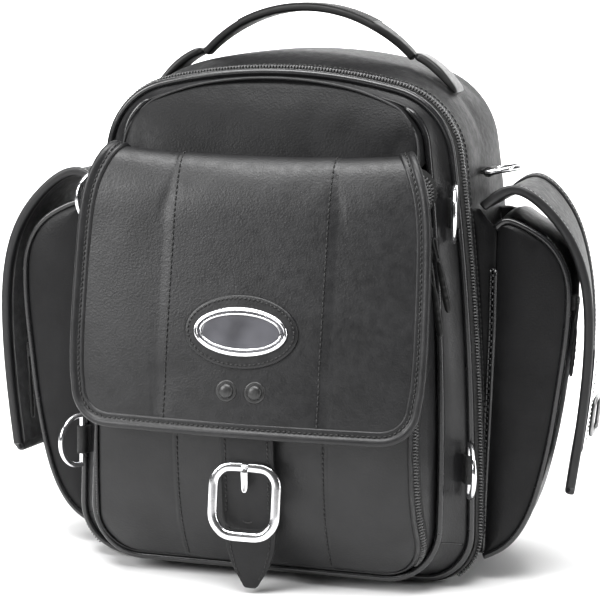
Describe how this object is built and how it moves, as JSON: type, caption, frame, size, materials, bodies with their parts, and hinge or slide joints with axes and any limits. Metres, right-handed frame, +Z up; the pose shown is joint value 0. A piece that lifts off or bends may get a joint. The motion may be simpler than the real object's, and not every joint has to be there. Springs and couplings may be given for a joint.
{
  "type": "motorcycle tail bag",
  "caption": "Soft arch-shaped motorcycle tail bag with a lidded front pocket, chrome buckle strap, lidded side pockets, D-rings and a top handle.",
  "frame": {"origin": "middle of the base that the bag rests on, at mid depth of the main compartment", "axes": "+Z up, the front with its lid and buckle faces -Y, +X is the viewer's right"},
  "size_m": [0.4386, 0.2546, 0.401],
  "materials": {
    "vinyl": "semi-matte black grained vinyl",
    "binding": "black folded vinyl binding with a stitch line",
    "piping": "satin black vinyl over cord",
    "lining": "black woven nylon",
    "board": "rigid sheet",
    "zipper": "black nylon coil on woven tape",
    "strap": "black stitched strap",
    "chrome": "polished",
    "emblem_field": "glossy black enamel",
    "black_metal": "black oxide",
    "webbing": "black nylon webbing",
    "rubber": "black moulded rubber"
  },
  "bodies": {
    "bag_body": {"main_gusset": "vinyl", "back_panel": "vinyl", "stiffener_boards": "board", "main_zipper": "zipper", "side_pocket_wraps": "vinyl", "side_pocket_ends": "vinyl", "side_pocket_pipings": "piping", "side_pocket_zippers": "zipper", "handle_anchors": "rubber", "side_ring_loops": "webbing", "bar_sleeve": "lining", "mounting_straps": "webbing", "side_lid_roots": "vinyl"},
    "front_door": {"door_panel": "lining", "door_zipper_tape": "zipper", "frame_piping": "piping", "front_gusset": "vinyl", "pocket_piping": "piping", "upper_panel": "vinyl", "front_pocket_gusset": "vinyl", "front_pocket_panel": "vinyl", "front_zipper": "zipper", "snap_stud": "black_metal", "front_ring_loops": "webbing"},
    "front_lid": {"front_lid": "vinyl", "front_lid_binding": "binding", "emblem_patch": "strap", "emblem_plate": "emblem_field", "emblem_ring": "chrome", "strap_rivets": "black_metal", "closure_strap": "strap", "strap_tail": "strap", "snap_socket": "black_metal"},
    "buckle_frame": {"buckle_frame": "chrome"},
    "buckle_prong": {"buckle_prong": "chrome"},
    "left_lid": {"left_lid": "vinyl", "left_lid_binding": "binding", "left_lid_strap": "strap", "left_lid_buckle": "chrome"},
    "right_lid": {"right_lid": "vinyl", "right_lid_binding": "binding", "right_lid_strap": "strap", "right_lid_buckle": "chrome"},
    "handle": {"handle": "rubber"},
    "upper_left_ring": {"upper_left_ring": "chrome"},
    "upper_right_ring": {"upper_right_ring": "chrome"},
    "lower_left_ring": {"lower_left_ring": "chrome"},
    "lower_right_ring": {"lower_right_ring": "chrome"},
    "left_side_ring": {"left_side_ring": "chrome"},
    "right_side_ring": {"right_side_ring": "chrome"},
    "front_upper_slider": {"front_upper_slider": "black_metal"},
    "front_lower_slider": {"front_lower_slider": "black_metal"},
    "front_upper_pull": {"front_upper_pull": "rubber"},
    "front_lower_pull": {"front_lower_pull": "rubber"},
    "main_slider": {"main_slider": "black_metal"},
    "main_pull": {"main_pull": "rubber"},
    "left_pocket_slider": {"left_pocket_slider": "black_metal"},
    "right_pocket_slider": {"right_pocket_slider": "black_metal"},
    "left_pocket_pull": {"left_pocket_pull": "rubber"},
    "right_pocket_pull": {"right_pocket_pull": "rubber"}
  },
  "joints": [
    {"name": "front_door_hinge", "type": "hinge", "parent": "bag_body", "child": "front_door", "pos_m": [0, -0.06885, 0.002], "axis": [1, 0, 0], "range_deg": [0, 75]},
    {"name": "front_lid_hinge", "type": "hinge", "parent": "front_door", "child": "front_lid", "pos_m": [0, -0.1085, 0.3], "axis": [-1, 0, 0], "range_deg": [0, 100]},
    {"name": "buckle_frame_hinge", "type": "hinge", "parent": "front_lid", "child": "buckle_frame", "pos_m": [0.002, -0.15551, 0.09331], "axis": [-1, 0, 0], "range_deg": [0, 70]},
    {"name": "buckle_prong_hinge", "type": "hinge", "parent": "buckle_frame", "child": "buckle_prong", "pos_m": [0.002, -0.15551, 0.09331], "axis": [-1, 0, 0], "range_deg": [0, 70]},
    {"name": "left_lid_hinge", "type": "hinge", "parent": "bag_body", "child": "left_lid", "pos_m": [-0.1515, 0, 0.279], "axis": [0, 1, 0], "range_deg": [0, 95]},
    {"name": "right_lid_hinge", "type": "hinge", "parent": "bag_body", "child": "right_lid", "pos_m": [0.1515, 0, 0.279], "axis": [0, -1, 0], "range_deg": [0, 95]},
    {"name": "handle_hinge", "type": "hinge", "parent": "bag_body", "child": "handle", "pos_m": [0, 0, 0.3636], "axis": [1, 0, 0], "range_deg": [-30, 30]},
    {"name": "upper_left_ring_hinge", "type": "hinge", "parent": "front_door", "child": "upper_left_ring", "pos_m": [-0.1274, -0.0846, 0.263], "axis": [0, 0, -1], "range_deg": [-61, 55]},
    {"name": "upper_right_ring_hinge", "type": "hinge", "parent": "front_door", "child": "upper_right_ring", "pos_m": [0.1274, -0.0846, 0.263], "axis": [0, 0, 1], "range_deg": [-40, 76]},
    {"name": "lower_left_ring_hinge", "type": "hinge", "parent": "front_door", "child": "lower_left_ring", "pos_m": [-0.1426, -0.0846, 0.0865], "axis": [0, 0, -1], "range_deg": [-52, 64]},
    {"name": "lower_right_ring_hinge", "type": "hinge", "parent": "front_door", "child": "lower_right_ring", "pos_m": [0.1426, -0.0846, 0.0865], "axis": [0, 0, 1], "range_deg": [-48, 68]},
    {"name": "left_side_ring_hinge", "type": "hinge", "parent": "bag_body", "child": "left_side_ring", "pos_m": [-0.1356, 0, 0.285], "axis": [0, 1, 0], "range_deg": [0, 88]},
    {"name": "right_side_ring_hinge", "type": "hinge", "parent": "bag_body", "child": "right_side_ring", "pos_m": [0.1356, 0, 0.285], "axis": [0, -1, 0], "range_deg": [0, 88]},
    {"name": "front_upper_slide", "type": "slide", "parent": "front_door", "child": "front_upper_slider", "axis": [-0.0637, 0.2868, 0.9559], "range_m": [0, 0.018]},
    {"name": "front_lower_slide", "type": "slide", "parent": "front_door", "child": "front_lower_slider", "axis": [0.0326, -0.2116, -0.9768], "range_m": [0, 0.06]},
    {"name": "main_slide", "type": "slide", "parent": "bag_body", "child": "main_slider", "axis": [-0.0748, 0, -0.9972], "range_m": [0, 0.06]},
    {"name": "right_pocket_slide", "type": "slide", "parent": "bag_body", "child": "right_pocket_slider", "axis": [-0.0665, 0, -0.9978], "range_m": [0, 0.06]},
    {"name": "left_pocket_slide", "type": "slide", "parent": "bag_body", "child": "left_pocket_slider", "axis": [-0.0722, 0, 0.9974], "range_m": [0, 0.05]},
    {"name": "front_upper_pull_swing", "type": "hinge", "parent": "front_upper_slider", "child": "front_upper_pull", "pos_m": [0.1204, -0.1132, 0.2476], "axis": [0, -1, 0], "range_deg": [0, 80]},
    {"name": "front_lower_pull_swing", "type": "hinge", "parent": "front_lower_slider", "child": "front_lower_pull", "pos_m": [0.1194, -0.1196, 0.2324], "axis": [0, -1, 0], "range_deg": [0, 80]},
    {"name": "main_pull_swing", "type": "hinge", "parent": "main_slider", "child": "main_pull", "pos_m": [-0.1442, -0.0666, 0.233], "axis": [0, 1, 0], "range_deg": [0, 80]},
    {"name": "right_pocket_pull_swing", "type": "hinge", "parent": "right_pocket_slider", "child": "right_pocket_pull", "pos_m": [0.2071, -0.041, 0.197], "axis": [1, 0, 0], "range_deg": [-10, 10]},
    {"name": "left_pocket_pull_swing", "type": "hinge", "parent": "left_pocket_slider", "child": "left_pocket_pull", "pos_m": [-0.2031, -0.041, 0.139], "axis": [1, 0, 0], "range_deg": [-10, 10]}
  ],
  "couplings": [
    {"joint": "left_side_ring_hinge", "follows": "left_lid_hinge", "ratio": 0.88},
    {"joint": "right_side_ring_hinge", "follows": "right_lid_hinge", "ratio": 0.88}
  ]
}
